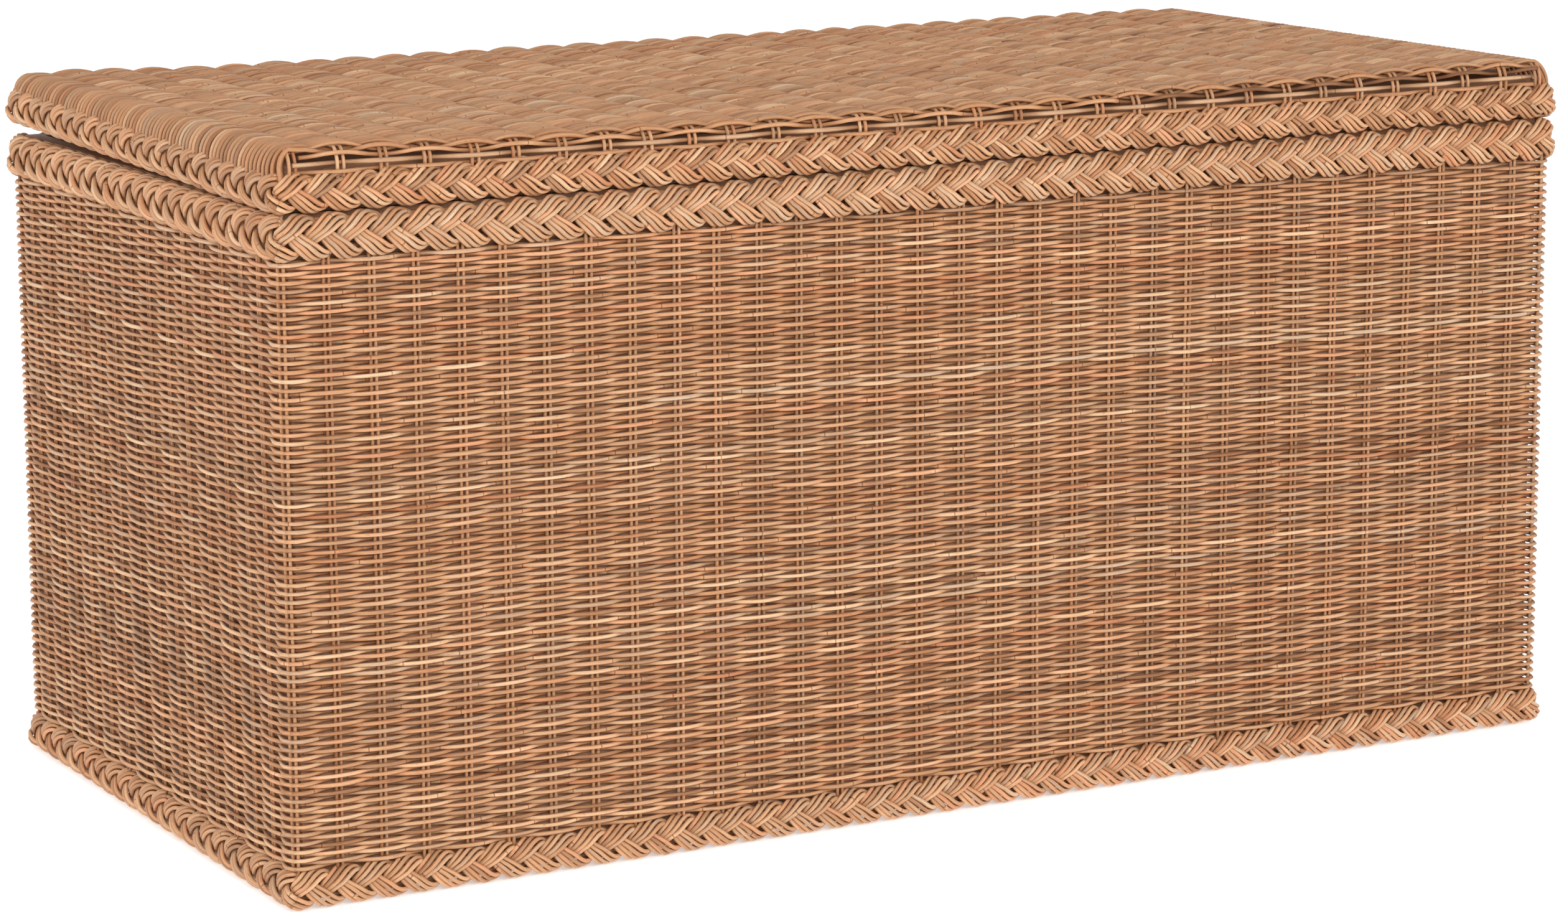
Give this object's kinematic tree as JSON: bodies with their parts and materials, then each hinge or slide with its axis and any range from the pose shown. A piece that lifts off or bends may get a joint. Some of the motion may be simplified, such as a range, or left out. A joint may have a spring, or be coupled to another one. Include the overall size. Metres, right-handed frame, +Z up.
{
  "type": "wicker storage trunk",
  "caption": "Rectangular storage trunk woven from natural cane, with plaited borders at its foot, rim and lid, and a lid hinged along the back.",
  "frame": {"origin": "on the floor under the middle of the trunk", "axes": "+Z up, +X along the trunk's length to the right seen from the front, front at -Y, hinges at +Y"},
  "size_m": [1, 0.4983, 0.4908],
  "materials": {
    "woven_cane": "satin woven cane, honey brown",
    "plaited_cane": "satin plaited cane, honey brown",
    "cane": "satin round cane",
    "frame_wood": "stained softwood, matt",
    "hinge_steel": "dull plated steel",
    "screw_brass": "dull brass"
  },
  "bodies": {
    "chest": {"back_canes": "cane", "back_weave": "woven_cane", "base_plait_back": "plaited_cane", "base_plait_front": "plaited_cane", "base_plait_left": "plaited_cane", "base_plait_right": "plaited_cane", "chest_hinge_leaves": "hinge_steel", "chest_hinge_screws": "screw_brass", "corner_post_back_left": "frame_wood", "corner_post_back_right": "frame_wood", "corner_post_front_left": "frame_wood", "corner_post_front_right": "frame_wood", "floor_canes": "cane", "floor_rail_back": "frame_wood", "floor_rail_front": "frame_wood", "floor_rail_left": "frame_wood", "floor_rail_right": "frame_wood", "floor_weave": "woven_cane", "front_canes": "cane", "front_weave": "woven_cane", "hinge_pins": "hinge_steel", "left_canes": "cane", "left_weave": "woven_cane", "lining_back": "frame_wood", "lining_front": "frame_wood", "lining_left": "frame_wood", "lining_right": "frame_wood", "right_canes": "cane", "right_weave": "woven_cane", "rim_board_back": "frame_wood", "rim_board_front": "frame_wood", "rim_board_left": "frame_wood", "rim_board_right": "frame_wood", "rim_plait_back": "plaited_cane", "rim_plait_front": "plaited_cane", "rim_plait_left": "plaited_cane", "rim_plait_right": "plaited_cane"},
    "lid": {"lid_band_back": "woven_cane", "lid_band_front": "woven_cane", "lid_bar_left": "frame_wood", "lid_bar_right": "frame_wood", "lid_board_back": "frame_wood", "lid_board_front": "frame_wood", "lid_board_left": "frame_wood", "lid_board_right": "frame_wood", "lid_canes": "cane", "lid_end_left": "woven_cane", "lid_end_right": "woven_cane", "lid_hinge_leaves": "hinge_steel", "lid_hinge_screws": "screw_brass", "lid_lining": "frame_wood", "lid_plait_back": "plaited_cane", "lid_plait_front": "plaited_cane", "lid_plait_left": "plaited_cane", "lid_plait_right": "plaited_cane", "lid_top_weave": "woven_cane"}
  },
  "joints": [
    {"name": "lid_hinge", "type": "hinge", "parent": "chest", "child": "lid", "pos_m": [0, 0.243, 0.45], "axis": [-1, 0, 0], "range_deg": [0, 97]}
  ]
}
